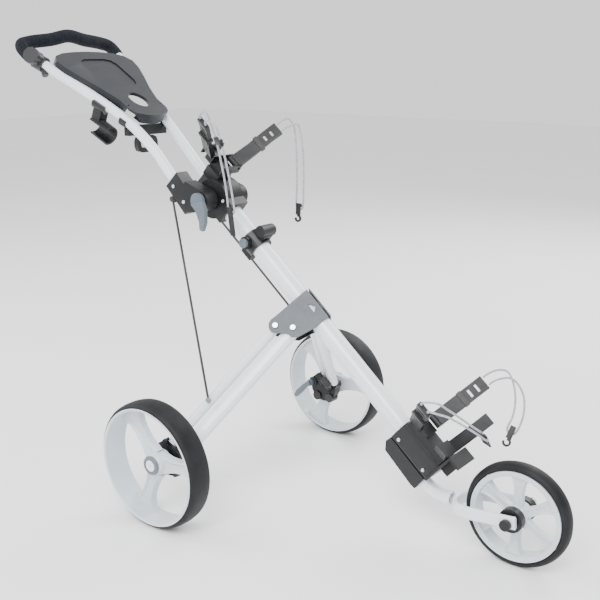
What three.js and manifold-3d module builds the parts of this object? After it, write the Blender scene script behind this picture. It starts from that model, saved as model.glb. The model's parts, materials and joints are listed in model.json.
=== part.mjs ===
// Golf push trolley, three wheels, with a folding handle and folding rear legs.
// Millimetres. +X forward, +Y to the pusher's left, +Z up. The ground is z = 0.
// While it is drawn, x = 0 is the rear axle; the finished group is centred on its box.

import * as THREE from 'three';
import { mergeVertices } from 'three/addons/utils/BufferGeometryUtils.js';
import Module from 'manifold-3d';

const wasm = await Module();
wasm.setup();

// ---- driving dimensions -------------------------------------------------

const GAP = 0.3;

const REAR_WHEEL = { radius: 145, width: 62, centreY: 337, rimRadius: 135, spokes: 3, turn: -37 };
const FRONT_WHEEL = { radius: 113, width: 38, x: 699, rimRadius: 98, spokes: 6, turn: 0 };

const MAIN_TUBE = { radius: 22.5, wall: 2, slope: 40.5, top: -72, bottom: 688 };
const MAIN_ORIGIN = new THREE.Vector3(-24.6, 0, 612.8);

const HINGE = { s: -98, h: 0, pinRadius: 6, housingRadius: 46, halfWidth: 29 };

const HANDLE = { slope: 46.2, tubeRadius: 12.5, wall: 1.5, halfGap: 52, offset: -40.8 };
const HANDLE_BEND = new THREE.Vector3(-303, -52, 823);
const HANDLE_TOP = new THREE.Vector3(-535, -123, 961);
const GRIP_END = new THREE.Vector3(-586, -140, 988);
const GRIP_CORNER = new THREE.Vector3(-619, -138, 1014);
const GRIP_MIDDLE = new THREE.Vector3(-613, 0, 1038);
const GRIP_RADIUS = 16;

const LEG = {
  length: 335,
  pivot: new THREE.Vector3(154.5, -42.4, 411),
  foot: new THREE.Vector3(26.8, -292, 149.5),
  linkAlong: -28.5,
  linkDown: 28,
  frontWidth: 34,
  frontDepth: 22,
  rearRadius: 11,
  wall: 1.5,
  boltRadius: 4,
};
const PLATE = { inner: 15.6, outer: 18.6 };

const ROD_PIN = new THREE.Vector3(-210, -46.5, 668);
const ROD_RADIUS = 3;
const ROD_REACH = 222;

// ---- vectors and frames -------------------------------------------------

const X = new THREE.Vector3(1, 0, 0);
const Y = new THREE.Vector3(0, 1, 0);
const Z = new THREE.Vector3(0, 0, 1);
const rad = THREE.MathUtils.degToRad;
const v3 = (x, y, z) => new THREE.Vector3(x, y, z);
const v2 = (x, y) => new THREE.Vector2(x, y);

// Main tube frame: local x runs down the tube, local z stands off its front side.
const tubeMatrix = new THREE.Matrix4().makeRotationY(rad(MAIN_TUBE.slope)).setPosition(MAIN_ORIGIN);
const onTube = (s, y, h) => v3(s, y, h).applyMatrix4(tubeMatrix);

// Handle frame: its origin is the fold pivot, local x runs up the handle,
// local z stands off the handle's front side.
const foldPivot = onTube(HINGE.s, 0, HINGE.h);
const handleMatrix = new THREE.Matrix4()
  .makeBasis(
    v3(-Math.cos(rad(HANDLE.slope)), 0, Math.sin(rad(HANDLE.slope))),
    v3(0, -1, 0),
    v3(Math.sin(rad(HANDLE.slope)), 0, Math.cos(rad(HANDLE.slope))),
  )
  .setPosition(foldPivot);
const onHandle = (a, y, n) => v3(a, -y, n).applyMatrix4(handleMatrix);

// Right leg frame: local x runs down the tube, local y down and out, local z out of the leg's plane.
const alongTube = v3(Math.cos(rad(MAIN_TUBE.slope)), 0, -Math.sin(rad(MAIN_TUBE.slope)));
const legDirection = LEG.foot.clone().sub(LEG.pivot).normalize();
const legNormal = legDirection.clone().cross(alongTube).normalize();
const downOut = alongTube.clone().cross(legNormal).normalize();
const legMatrix = new THREE.Matrix4()
  .makeBasis(alongTube, downOut.clone().negate(), legNormal)
  .setPosition(LEG.pivot);
const onLeg = (p, q, r) => v3(p, -q, r).applyMatrix4(legMatrix);
const legRun = v2(legDirection.dot(alongTube), legDirection.dot(downOut));

// ---- geometry helpers ---------------------------------------------------

function welded(geometry) {
  const bare = geometry.clone();
  for (const name of ['normal', 'uv']) bare.deleteAttribute(name);
  return mergeVertices(bare, 1e-4);
}

function toSolid(geometry) {
  const merged = welded(geometry);
  return new wasm.Manifold(new wasm.Mesh({
    numProp: 3,
    vertProperties: new Float32Array(merged.attributes.position.array),
    triVerts: new Uint32Array(merged.index.array),
  }));
}

function toGeometry(solid) {
  const mesh = solid.getMesh();
  const geometry = new THREE.BufferGeometry();
  geometry.setAttribute('position', new THREE.BufferAttribute(new Float32Array(mesh.vertProperties), 3));
  geometry.setIndex(new THREE.BufferAttribute(new Uint32Array(mesh.triVerts), 1));
  return geometry;
}

const join = (...parts) => toGeometry(parts.map(toSolid).reduce((a, b) => a.add(b)));
const cut = (body, ...tools) => toGeometry(tools.map(toSolid).reduce((a, b) => a.subtract(b), toSolid(body)));

// A copy on the other side of the middle plane, faces still out.
function mirrored(geometry) {
  const flipped = welded(geometry);
  flipped.applyMatrix4(new THREE.Matrix4().makeScale(1, -1, 1));
  const index = flipped.index.array;
  for (let i = 0; i < index.length; i += 3) [index[i], index[i + 1]] = [index[i + 1], index[i]];
  return flipped;
}

const ringPoints = (radius, sides, turn = 0) =>
  Array.from({ length: sides }, (_, i) => {
    const angle = turn + (2 * Math.PI * i) / sides;
    return v2(radius * Math.cos(angle), radius * Math.sin(angle));
  });

function disc(radius, sides) {
  return new THREE.Shape(ringPoints(radius, sides));
}

function pipeShape(outer, inner, sides, boreSides = sides) {
  const shape = disc(outer, sides);
  shape.holes.push(new THREE.Path(ringPoints(inner, boreSides)));
  return shape;
}

function roundedBox(width, height, corner, arcSteps = 3) {
  const points = [];
  const centres = [[1, 1], [-1, 1], [-1, -1], [1, -1]];
  centres.forEach(([sx, sy], quarter) => {
    for (let i = 0; i <= arcSteps; i += 1) {
      const angle = (Math.PI / 2) * (quarter + i / arcSteps);
      points.push(v2(
        sx * (width / 2 - corner) + corner * Math.cos(angle),
        sy * (height / 2 - corner) + corner * Math.sin(angle),
      ));
    }
  });
  return new THREE.Shape(points);
}

function extrude(shape, depth) {
  return new THREE.ExtrudeGeometry(shape, { depth, bevelEnabled: false, curveSegments: 6 });
}

// An outline drawn in x and z, thick from y = low to y = high.
const slabY = (shape, low, high) => extrude(shape, high - low).rotateX(Math.PI / 2).translate(0, high, 0);

// An outline drawn in y and z, thick from x = low to x = high.
function slabX(shape, low, high) {
  const basis = new THREE.Matrix4().makeBasis(Y, Z, X);
  return extrude(shape, high - low).applyMatrix4(basis).translate(low, 0, 0);
}

// A prism of a section from one point to another.
function bar(start, end, shape, up = Y) {
  const direction = end.clone().sub(start);
  const length = direction.length();
  direction.normalize();
  const side = up.clone().cross(direction).normalize();
  const basis = new THREE.Matrix4().makeBasis(side, direction.clone().cross(side), direction);
  basis.setPosition(start);
  return extrude(shape, length).applyMatrix4(basis);
}

function rod(start, end, radius, sides = 12) {
  return bar(start, end, disc(radius, sides), Math.abs(end.y - start.y) > 1 ? X : Y);
}

function sweep(points, shape, steps) {
  const extrudePath = new THREE.CatmullRomCurve3(points, false, 'centripetal');
  return new THREE.ExtrudeGeometry(shape, { steps, bevelEnabled: false, extrudePath });
}

const box = (x0, x1, y0, y1, z0, z1) =>
  new THREE.BoxGeometry(x1 - x0, y1 - y0, z1 - z0).translate((x0 + x1) / 2, (y0 + y1) / 2, (z0 + z1) / 2);

// Round bodies about the y axis; the profile is [radius, y] and closes on itself.
function turned(profile, sides) {
  const points = profile.map(([r, y]) => v2(r, y));
  points.push(points[0].clone());
  return new THREE.LatheGeometry(points, sides);
}

const inTubeFrame = (geometry) => geometry.applyMatrix4(tubeMatrix);
const inHandleFrame = (geometry) => geometry.applyMatrix4(handleMatrix);
const inLegFrame = (geometry) => geometry.applyMatrix4(legMatrix);

// ---- materials ----------------------------------------------------------

function finish(color, roughness, metalness = 0) {
  return new THREE.MeshStandardMaterial({ color, roughness, metalness });
}
const PAINT = finish(0xe6edf0, 0.35, 0.1);
const RIM = finish(0xb9c4c9, 0.45);
const TYRE = finish(0x14161a, 0.7);
const PLASTIC = finish(0x17181b, 0.5);
const TRAY = finish(0x22262e, 0.45);
const STEEL_PLATE = finish(0x454e59, 0.5, 0.3);
const GREY = finish(0x65727c, 0.45);
const FOAM = finish(0x1b2029, 0.85);
const CORD = finish(0x8f949c, 0.8);
const BOLT = finish(0xc8ccd0, 0.3, 0.9);
const ROD_BLACK = finish(0x1c1d1f, 0.4, 0.4);
const WEBBING = finish(0x0f0f10, 0.9);

const trolley = new THREE.Group();
trolley.name = 'golf_push_trolley';

function add(name, geometry, material) {
  const mesh = new THREE.Mesh(geometry, material);
  mesh.name = name;
  trolley.add(mesh);
  return mesh;
}

function addPair(name, rightGeometry, material) {
  add(`${name}_right`, rightGeometry, material);
  add(`${name}_left`, mirrored(rightGeometry), material);
}

// ---- main tube and fold hinge -------------------------------------------

const boreTool = (low, high) => slabX(disc(MAIN_TUBE.radius + GAP, 24), low, high);

const tubeOutline = pipeShape(MAIN_TUBE.radius, MAIN_TUBE.radius - MAIN_TUBE.wall, 24);
add('main_tube', inTubeFrame(slabX(tubeOutline, MAIN_TUBE.top, MAIN_TUBE.bottom)), PAINT);

function hingeHousing() {
  const { s, housingRadius, halfWidth, pinRadius } = HINGE;
  const cheek = slabY(disc(housingRadius, 28), -halfWidth, halfWidth).translate(s, 0, 0);
  const sleeve = box(s, s + 52, -halfWidth, halfWidth, -26, 33);
  const neck = box(s - 62, s - 20, -22, 22, 22, 48);
  const pinHole = slabY(disc(pinRadius + GAP, 14), -40, 40).translate(s, 0, 0);
  return cut(join(cheek, sleeve, neck), boreTool(MAIN_TUBE.top - GAP, s + 60), pinHole);
}
add('hinge_housing', inTubeFrame(hingeHousing()), PLASTIC);

const hingePin = slabY(disc(HINGE.pinRadius, 14), -76, 76).translate(HINGE.s, 0, 0);
add('hinge_pin', inTubeFrame(hingePin), BOLT);

// ---- upper bag cradle ---------------------------------------------------

const ARM_ROOT = { y: -24, h: 76 };
const UPPER_ARM_STATIONS = { right: -169, left: -132 };

function upperCradleBase() {
  const post = box(HINGE.s - 84, HINGE.s - 18, -15, 15, 48 + GAP, 68);
  const deck = box(HINGE.s - 90, HINGE.s - 14, -15, 15, 62, 70);
  const ears = [-186.5, -150.7, -114].map((s) => box(s - 1.6, s + 1.6, -32, 32, 62, 84));
  const holes = [-1, 1].map((side) =>
    slabX(disc(3 + 2 * GAP, 8), -200, -100).translate(0, side * ARM_ROOT.y, ARM_ROOT.h));
  return cut(join(post, deck, ...ears), ...holes);
}
add('upper_cradle_base', inTubeFrame(upperCradleBase()), PLASTIC);

// One bag arm, drawn standing from its root at the origin and rising along z.
function bagArm(length, width) {
  const half = width / 2;
  const outline = new THREE.Shape([
    v2(-4, -7), v2(5, -7), v2(9, 8), v2(9, length * 0.4), v2(6, length * 0.75), v2(9, length),
    v2(-2, length), v2(-3, length * 0.72), v2(0, length * 0.4), v2(-4, 10),
  ]);
  const blade = slabX(outline, -half, half);
  const knuckle = slabX(disc(8, 10), -half, half);
  const buckle = box(-half - 1.5, half + 1.5, -4.5, 12, length * 0.52, length * 0.6);
  const slots = [0.68, 0.82].map((k) => box(-half * 0.55, half * 0.55, -20, 20, length * k, length * k + 6));
  return cut(join(blade, knuckle, buckle), ...slots);
}

const UPPER_ARM = { length: 130, width: 31, lean: 40 };

function upperArm(side) {
  const station = side < 0 ? UPPER_ARM_STATIONS.right : UPPER_ARM_STATIONS.left;
  let blank = bagArm(UPPER_ARM.length, UPPER_ARM.width);
  if (side < 0) blank = mirrored(blank);
  blank.rotateX(rad(-side * UPPER_ARM.lean));
  const hinge = slabX(disc(3, 8), -UPPER_ARM.width / 2 - 1.5, UPPER_ARM.width / 2 + 1.5);
  return join(blank, hinge).translate(station, side * -ARM_ROOT.y, ARM_ROOT.h);
}
add('upper_bag_arm_right', inTubeFrame(upperArm(-1)), PLASTIC);
add('upper_bag_arm_left', inTubeFrame(upperArm(1)), PLASTIC);

// ---- collar with the catch for the folded handle ------------------------

const COLLAR = { low: 26, high: 66, radius: 29 };

function tubeCollar() {
  const { low, high, radius } = COLLAR;
  const band = slabX(disc(radius, 20), low, high);
  const ear = box(low + 4, high - 4, -9, 9, -42, -20);
  const pad = slabY(disc(14, 12), -21, 21).translate(48, 0, 43);
  const web = box(low + 6, high - 4, -15, 15, 20, 40);
  const boss = slabY(disc(15, 14), -36, -16).translate(40, 0, 0);
  const button = slabY(disc(11 + GAP, 14), -40, -28).translate(40, 0, 0);
  return cut(join(band, ear, pad, web, boss), boreTool(low - 5, high + 5), button);
}
add('tube_collar', inTubeFrame(tubeCollar()), PLASTIC);
add('collar_button', inTubeFrame(slabY(disc(11, 14), -44, -31.6).translate(40, 0, 0)), GREY);

// ---- leg bracket --------------------------------------------------------

const LINK = v2(LEG.linkAlong, LEG.linkDown);

const plateOutline = (topEdge) => new THREE.Shape([
  v2(-51, topEdge), v2(29, topEdge), v2(31, -37), v2(24, 6), v2(14, 15), v2(0, 19),
  v2(-14, 38), v2(-24, 44), v2(-34, 43), v2(-43, 36), v2(-46, 26), v2(-46, 14),
].map((p) => v2(p.x, -p.y)));

function pivotHoles(radius) {
  return [v2(0, 0), LINK].map((p) => extrude(disc(radius, 12), 80).translate(p.x, -p.y, -40));
}

function bracketPlate() {
  const thick = PLATE.outer - PLATE.inner;
  const plate = extrude(plateOutline(-77), thick).translate(0, 0, PLATE.inner);
  const window = new THREE.Shape([v2(-22, 58), v2(-8, 70), v2(2, 58)]);
  return cut(plate, extrude(window, 40), ...pivotHoles(LEG.boltRadius + GAP));
}
addPair('leg_bracket_plate', inLegFrame(bracketPlate()), STEEL_PLATE);

function pivotBlock() {
  const cheek = extrude(plateOutline(-31), 3.5).translate(0, 0, -16.5);
  const holed = inLegFrame(cut(cheek, ...pivotHoles(LEG.boltRadius + GAP)));
  const web = inTubeFrame(box(218, 294, -16, 16, -34, -20));
  return cut(join(holed, mirrored(holed), web), inTubeFrame(boreTool(200, 310)));
}
add('leg_pivot_block', pivotBlock(), PLASTIC);

function pivotBolt(centre) {
  const shank = extrude(disc(LEG.boltRadius, 12), 36.5).translate(0, 0, -17.5);
  const head = extrude(disc(6.5, 10), 4).translate(0, 0, PLATE.outer + GAP);
  return inLegFrame(join(shank, head).translate(centre.x, -centre.y, 0));
}
addPair('leg_pivot_bolt', pivotBolt(v2(0, 0)), BOLT);
addPair('link_pivot_bolt', pivotBolt(LINK), BOLT);

// ---- legs ---------------------------------------------------------------

// Sections of both leg tubes lie along the leg, from just past one pivot to just past the other.
function legTube(pivot, outline, hollow) {
  const reach = (t, r) => onLeg(pivot.x + legRun.x * t, pivot.y + legRun.y * t, r);
  outline.holes.push(hollow);
  const tube = bar(reach(-13, 0), reach(LEG.length + 12, 0), outline, legNormal);
  const holes = [0, LEG.length].map((t) => rod(reach(t, -30), reach(t, 30), LEG.boltRadius + GAP, 10));
  return cut(tube, ...holes);
}

const frontOutline = roundedBox(LEG.frontWidth, LEG.frontDepth, 10, 2);
const frontHollow = roundedBox(LEG.frontWidth - 2 * LEG.wall, LEG.frontDepth - 2 * LEG.wall, 8.5, 1);
addPair('leg_tube', legTube(v2(0, 0), frontOutline, frontHollow), PAINT);
const rearHollow = new THREE.Path(ringPoints(LEG.rearRadius - LEG.wall, 8));
addPair('link_tube', legTube(LINK, disc(LEG.rearRadius, 12), rearHollow), PAINT);

// ---- wheel carriers -----------------------------------------------------

const axleHeight = REAR_WHEEL.radius;
const hubInner = REAR_WHEEL.centreY - REAR_WHEEL.width / 2;

function wheelCarrier() {
  const reach = (pivot, t, r) => onLeg(pivot.x + legRun.x * t, pivot.y + legRun.y * t, r);
  const origin = v2(0, 0);
  const drum = slabY(disc(40, 20), 280, hubInner - 4).translate(0, 0, axleHeight);
  const lobes = [0, 1, 2, 3, 4].map((i) => {
    const angle = rad(72 * i + 20);
    const spot = v2(34 * Math.cos(angle), 34 * Math.sin(angle));
    return slabY(disc(13, 8), 276, hubInner - 4).translate(spot.x, 0, axleHeight + spot.y);
  });
  const axle = slabY(disc(7.5, 12), 290, 345).translate(0, 0, axleHeight);
  const bodies = [drum, ...lobes, axle].map(mirrored);
  const armEnd = v3(14, -284, axleHeight + 2);
  const armLinkEnd = v3(-6, -284, axleHeight + 10);
  const arm = bar(reach(origin, LEG.length - 10, -20.5), armEnd, roundedBox(30, 16, 4, 1), legNormal);
  const armLink = bar(reach(LINK, LEG.length - 8, -20.5), armLinkEnd, roundedBox(24, 16, 4, 1), legNormal);
  const pins = [origin, LINK].map((p) =>
    rod(reach(p, LEG.length, -22), reach(p, LEG.length, 15), LEG.boltRadius, 10));
  const clearance = [origin, LINK].map((p, i) =>
    rod(reach(p, LEG.length, -12.2), reach(p, LEG.length, 40), i === 0 ? 22.7 : 18.2, 16));
  return join(cut(join(...bodies, arm, armLink), ...clearance), ...pins);
}
addPair('wheel_carrier', wheelCarrier(), PLASTIC);

// ---- fold rods ----------------------------------------------------------

const rodFoot = onLeg(LINK.x + legRun.x * ROD_REACH, LINK.y + legRun.y * ROD_REACH, LEG.rearRadius + 6);

function foldRod() {
  const middle = rodFoot.clone().lerp(ROD_PIN, 0.5);
  const wire = sweep([rodFoot.clone(), middle, ROD_PIN.clone()], disc(ROD_RADIUS, 6), 2);
  const eye = rod(onLegOffset(rodFoot, -4.2), onLegOffset(rodFoot, 5), 5.5, 10);
  const head = slabY(disc(7, 10), ROD_PIN.y - 4, ROD_PIN.y + 4).translate(ROD_PIN.x, 0, ROD_PIN.z);
  return join(wire, eye, head);
}
function onLegOffset(point, r) {
  return point.clone().addScaledVector(legNormal, r);
}
addPair('fold_rod', foldRod(), ROD_BLACK);

// ---- handle -------------------------------------------------------------

// A clamp on each side joins a handle tube to the fold pivot.
function handleClamp() {
  const { offset, halfGap, tubeRadius } = HANDLE;
  const wide = [35, 70];
  const barrel = slabY(disc(25, 20), ...wide);
  const block = box(8, 92, wide[0], wide[1], offset - 19, offset + 30);
  const bridgeOutline = new THREE.Shape([v2(-18, -18), v2(18, 18), v2(60, -4), v2(50, -45), v2(8, -50)]);
  const bridge = slabY(bridgeOutline, ...wide);
  const socket = rod(v3(52, halfGap, offset), v3(110, halfGap, offset), tubeRadius + GAP, 16);
  const pinHole = slabY(disc(HINGE.pinRadius + GAP, 14), 20, 90);
  const pin = ROD_PIN.clone().applyMatrix4(handleMatrix.clone().invert());
  const lugEye = slabY(disc(9, 12), 35.5, 42.2).translate(pin.x, 0, pin.z);
  const lug = slabY(new THREE.Shape([
    v2(pin.x - 9, pin.z), v2(pin.x + 9, pin.z), v2(86, offset), v2(54, offset),
  ]), 35.5, 42.2);
  return cut(inHandleFrame(cut(join(barrel, block, bridge, lug, lugEye), socket, pinHole)), handleBore);
}

const socketEnd = onHandle(54, -HANDLE.halfGap, HANDLE.offset);
const flip3 = (p) => v3(p.x, -p.y, p.z);
const bendBefore = HANDLE_BEND.clone().lerp(socketEnd, 0.3);
const bendAfter = HANDLE_BEND.clone().lerp(HANDLE_TOP, 0.16);
const straight = socketEnd.clone().lerp(bendBefore, 0.5);
const HANDLE_STEPS = 40;
const gripSide = GRIP_CORNER.clone().lerp(GRIP_MIDDLE, 0.2).add(v3(-5, 0, 3));
const gripInner = GRIP_CORNER.clone().lerp(GRIP_MIDDLE, 0.62);

const rightHalf = [
  socketEnd, straight, bendBefore, bendAfter, HANDLE_TOP, GRIP_END, GRIP_CORNER, gripSide, gripInner,
];
const handleRoute = [...rightHalf, GRIP_MIDDLE, ...rightHalf.map(flip3).reverse()];
const handleSection = pipeShape(HANDLE.tubeRadius, HANDLE.tubeRadius - HANDLE.wall, 10, 5);
add('handle_frame', sweep(handleRoute, handleSection, HANDLE_STEPS), PAINT);
const handleBore = sweep(handleRoute, disc(HANDLE.tubeRadius + GAP, 10), HANDLE_STEPS);
addPair('handle_clamp', handleClamp(), PLASTIC);

const gripCurve = new THREE.CatmullRomCurve3(handleRoute, false, 'centripetal');

// The foam follows the tube exactly: it is swept along the middle stretch of the same curve.
class GripCurve extends THREE.Curve {
  getPoint(t, target = new THREE.Vector3()) {
    const start = 5 / (handleRoute.length - 1);
    return gripCurve.getPoint(start + t * (1 - 2 * start), target);
  }
}
const foam = new THREE.ExtrudeGeometry(
  disc(GRIP_RADIUS, 10),
  { steps: 18, bevelEnabled: false, extrudePath: new GripCurve() },
);
add('handle_grip', cut(foam, handleBore), FOAM);

// ---- console tray -------------------------------------------------------

// The tray's frame: local x runs up the handle's upper reach, local z stands off its front side.
const trayDirection = v3(HANDLE_TOP.x - HANDLE_BEND.x, 0, HANDLE_TOP.z - HANDLE_BEND.z).normalize();
const trayMatrix = new THREE.Matrix4()
  .makeBasis(trayDirection, v3(0, -1, 0), trayDirection.clone().cross(v3(0, -1, 0)))
  .setPosition(v3(HANDLE_BEND.x, 0, HANDLE_BEND.z));

function consoleTray() {
  const half = [
    v2(20, 30), v2(30, 52), v2(46, 60), v2(84, 60), v2(132, 76), v2(180, 98), v2(226, 116), v2(258, 121),
    v2(280, 108), v2(292, 80), v2(298, 40),
  ];
  const outline = [v2(14, 0), ...half, v2(300, 0), ...half.map((p) => v2(p.x, -p.y)).reverse()];
  const body = extrude(new THREE.Shape(outline), 24).translate(0, 0, 4);
  const skirt = half.map((p) => v2(156 + (p.x - 156) * 0.9, p.y - 14));
  const farSkirt = skirt.map((p) => v2(p.x, -p.y)).reverse();
  const skirtCut = new THREE.Shape([v2(30, 0), ...skirt, v2(286, 0), ...farSkirt]);
  const hollow = extrude(skirtCut, 20);
  const cup = extrude(disc(25, 16), 60).scale(1.2, 1, 1).translate(84, 0, -10);
  const dish = extrude(roundedBox(120, 110, 24, 2), 20).translate(205, 0, 25.5);
  const grooves = [-1, 1].map((side) => {
    const start = v3(0, side * 52, 0);
    const end = v3(trayDirection.dot(HANDLE_TOP.clone().sub(HANDLE_BEND)), side * 123, 0);
    const reach = end.clone().sub(start);
    const from = start.clone().addScaledVector(reach, -0.35);
    return bar(from, start.clone().addScaledVector(reach, 1.4), disc(HANDLE.tubeRadius + 1.4, 12), Z);
  });
  const blank = cut(body, hollow, cup, dish, ...grooves);
  const lower = [-1, 1].map((side) => {
    const to = onHandle(110, side * HANDLE.halfGap, HANDLE.offset);
    const from = v3(HANDLE_BEND.x, side * HANDLE.halfGap, HANDLE_BEND.z).lerp(to, -0.5);
    return rod(to, from, HANDLE.tubeRadius + 1.4, 12);
  });
  const tubeRoom = sweep(handleRoute, disc(HANDLE.tubeRadius + 1, 10), HANDLE_STEPS);
  return cut(blank.applyMatrix4(trayMatrix), ...lower, tubeRoom);
}
add('console_tray', consoleTray(), TRAY);

// ---- accessories on the handle ------------------------------------------

const towardsTop = HANDLE_TOP.clone().sub(HANDLE_BEND).normalize();
const trayRoom = () => box(-60, 320, -160, 160, 4 - GAP, 60).applyMatrix4(trayMatrix);

function accessoryClamp() {
  const centre = HANDLE_TOP.clone().lerp(GRIP_END, 0.5);
  const along = GRIP_END.clone().sub(HANDLE_TOP).normalize();
  const end = centre.clone().addScaledVector(along, 15);
  const collar = rod(centre.clone().addScaledVector(along, -15), end, 19, 14);
  const boss = rod(centre.clone().add(v3(4, -6, 8)), centre.clone().add(v3(12, -30, 16)), 16, 12);
  const knob = rod(centre.clone().add(v3(8, -26, 14)), centre.clone().add(v3(13, -36, 18)), 20, 10);
  const lug = rod(centre.clone().add(v3(8, 0, -6)), centre.clone().add(v3(22, -4, -30)), 8, 8);
  return cut(join(collar, boss, knob, lug), handleBore);
}
add('accessory_clamp', accessoryClamp(), PLASTIC);

function accessoryHolder() {
  const centre = HANDLE_BEND.clone().lerp(HANDLE_TOP, 0.42);
  const end = centre.clone().addScaledVector(towardsTop, 18);
  const collar = rod(centre.clone().addScaledVector(towardsTop, -18), end, 18.5, 14);
  const stalk = box(-14, 14, -12, 12, -44, -10).applyMatrix4(
    new THREE.Matrix4().makeRotationY(rad(24)).setPosition(centre));
  const cradleOuter = rod(centre.clone().add(v3(-34, 0, -48)), centre.clone().add(v3(20, 0, -74)), 24, 16);
  const cradleInner = rod(centre.clone().add(v3(-45, 0, -43)), centre.clone().add(v3(31, 0, -79)), 19, 16);
  const mouth = box(-60, 60, -60, -6, -50, 12).applyMatrix4(
    new THREE.Matrix4().makeRotationY(rad(24)).setPosition(centre.clone().add(v3(-8, 0, -58))));
  const shell = cut(cradleOuter, cradleInner, mouth);
  return cut(join(collar, stalk, shell), cradleInner, handleBore, trayRoom());
}
add('accessory_holder', accessoryHolder(), PLASTIC);

function crossLoop() {
  const opening = slabX(roundedBox(44, 18, 7, 2), -360, -330);
  const ring = cut(slabX(roundedBox(66, 40, 14, 2), -350, -336), opening);
  const loop = ring.translate(0, 0, 786);
  const bridge = box(-350, -334, -62, 62, 808, 832);
  const stem = box(-350, -336, -8, 8, 798, 812);
  const end = bendAfter.clone().addScaledVector(towardsTop, 10);
  const right = rod(bendAfter.clone().addScaledVector(towardsTop, -10), end, 16.5, 12);
  return cut(join(loop, bridge, stem, right, mirrored(right)), handleBore, trayRoom());
}
add('holder_loop', crossLoop(), PLASTIC);

// ---- fold lever ---------------------------------------------------------

function foldLever() {
  const hub = slabY(disc(19, 16), 71, 80);
  const blade = slabY(new THREE.Shape([
    v2(-10, 16), v2(-30, 8), v2(-52, -14), v2(-60, -34), v2(-52, -38), v2(-38, -26), v2(-14, -17), v2(6, -18),
  ]), 72, 82);
  const pinHole = slabY(disc(HINGE.pinRadius + GAP, 14), 60, 77);
  return inHandleFrame(cut(join(hub, blade), pinHole));
}
add('fold_lever', foldLever(), GREY);

// ---- lower bag bracket --------------------------------------------------

function lowerBracketBody() {
  const sleeve = slabX(roundedBox(49, 56, 10, 2), 588, 702);
  const cap = box(592, 700, -20, 20, 24, 44);
  const armMount = box(592, 640, -20, 20, 43, 50);
  const armRoom = [-1, 1].map((side) => lowerArm(side, GAP));
  return cut(join(sleeve, cap, armMount), boreTool(580, MAIN_TUBE.bottom + GAP), ...armRoom);
}

const STEM = { radius: 16, h: -47 };

function bracketCover() {
  const shell = slabY(new THREE.Shape([
    v2(588, -28.4), v2(702, -28.4), v2(704, -64), v2(690, -66), v2(600, -62), v2(586, -44),
  ]), -22, 22);
  return cut(shell, slabX(disc(STEM.radius + 1, 14), 612 - GAP, 760).translate(0, 0, STEM.h));
}
add('lower_bracket_cover', inTubeFrame(bracketCover()), PLASTIC);

// A curved cradle band: an arc in y and h, wide along the tube.
function cradleBand(bottom, sag, halfSpan, thickness, low, high) {
  const steps = 8;
  const under = Array.from({ length: steps + 1 }, (_, i) => {
    const y = -halfSpan + (2 * halfSpan * i) / steps;
    return v2(y, bottom + sag * (y / halfSpan) ** 2);
  });
  const over = under.map((p) => v2(p.x, p.y + thickness)).reverse();
  return slabX(new THREE.Shape([...under, ...over]), low, high);
}

function lowerCradle() {
  const band = cradleBand(48, 66, 102, 5, 672, 700);
  const rib = cradleBand(44.4, 30, 62, 8, 676, 696);
  const foot = box(668, 700, -20, 20, 44.3, 56);
  return join(band, rib, foot);
}
add('lower_cradle', inTubeFrame(lowerCradle()), PLASTIC);

function bagLedge() {
  const plate = box(702.4, 708, -34, 34, -18, 70);
  const lip = box(702.4, 734, -34, 34, 64, 70);
  const rib = box(703, 728, -3, 3, 10, 66);
  return join(plate, lip, rib);
}
add('bag_ledge', inTubeFrame(bagLedge()), PLASTIC);

const LOWER_ARM = { length: 134, width: 33, lean: 40, stations: { right: 606, left: 620 } };

// Room is the clearance that a copy used as a cutting tool adds on each side.
function lowerArm(side, room = 0) {
  const station = side < 0 ? LOWER_ARM.stations.right : LOWER_ARM.stations.left;
  let blank = bagArm(LOWER_ARM.length, LOWER_ARM.width + 2 * room);
  if (side < 0) blank = mirrored(blank);
  blank.rotateX(rad(-side * LOWER_ARM.lean));
  return blank.translate(station, side * 29, 56);
}

add('lower_bracket_body', inTubeFrame(lowerBracketBody()), PLASTIC);
add('lower_bag_arm_right', inTubeFrame(lowerArm(-1)), PLASTIC);
add('lower_bag_arm_left', inTubeFrame(lowerArm(1)), PLASTIC);

// ---- front fork ---------------------------------------------------------

const FORK = { height: 101, halfWidth: 48, back: 556, tip: 716, thick: 12, tall: 28 };
const forkPitch = Math.atan2(FRONT_WHEEL.radius + 3 - FORK.height, FRONT_WHEEL.x - FORK.back);

function forkStem() {
  const route = [
    onTube(612, 0, STEM.h), onTube(650, 0, STEM.h), onTube(690, 0, STEM.h),
    v3(497, 0, 108), v3(520, 0, 101.5), v3(549, 0, 101),
  ];
  return sweep(route, pipeShape(STEM.radius, STEM.radius - 2.5, 12, 6), 10);
}
add('fork_stem', forkStem(), PAINT);

function frontFork() {
  const { halfWidth, back, tip } = FORK;
  const corner = halfWidth;
  const route = [tip - back, (tip - back) * 0.65, corner + 8].map((x) => v3(x, -halfWidth, 0));
  for (let i = 1; i < 8; i += 1) {
    const angle = rad(-90 - (180 * i) / 8);
    route.push(v3(corner + 6 + corner * Math.cos(angle), halfWidth * Math.sin(angle), 0));
  }
  route.push(...[...route.slice(0, 3)].reverse().map(flip3));
  const place = new THREE.Matrix4().makeRotationY(-forkPitch).setPosition(v3(back + 0.5, 0, FORK.height));
  const bow = sweep(route, roundedBox(FORK.tall, FORK.thick, 4, 1), 22).applyMatrix4(place);
  return cut(bow, slabY(disc(5 + GAP, 12), -80, 80).translate(FRONT_WHEEL.x, 0, FRONT_WHEEL.radius));
}
add('front_fork', frontFork(), PAINT);

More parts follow.
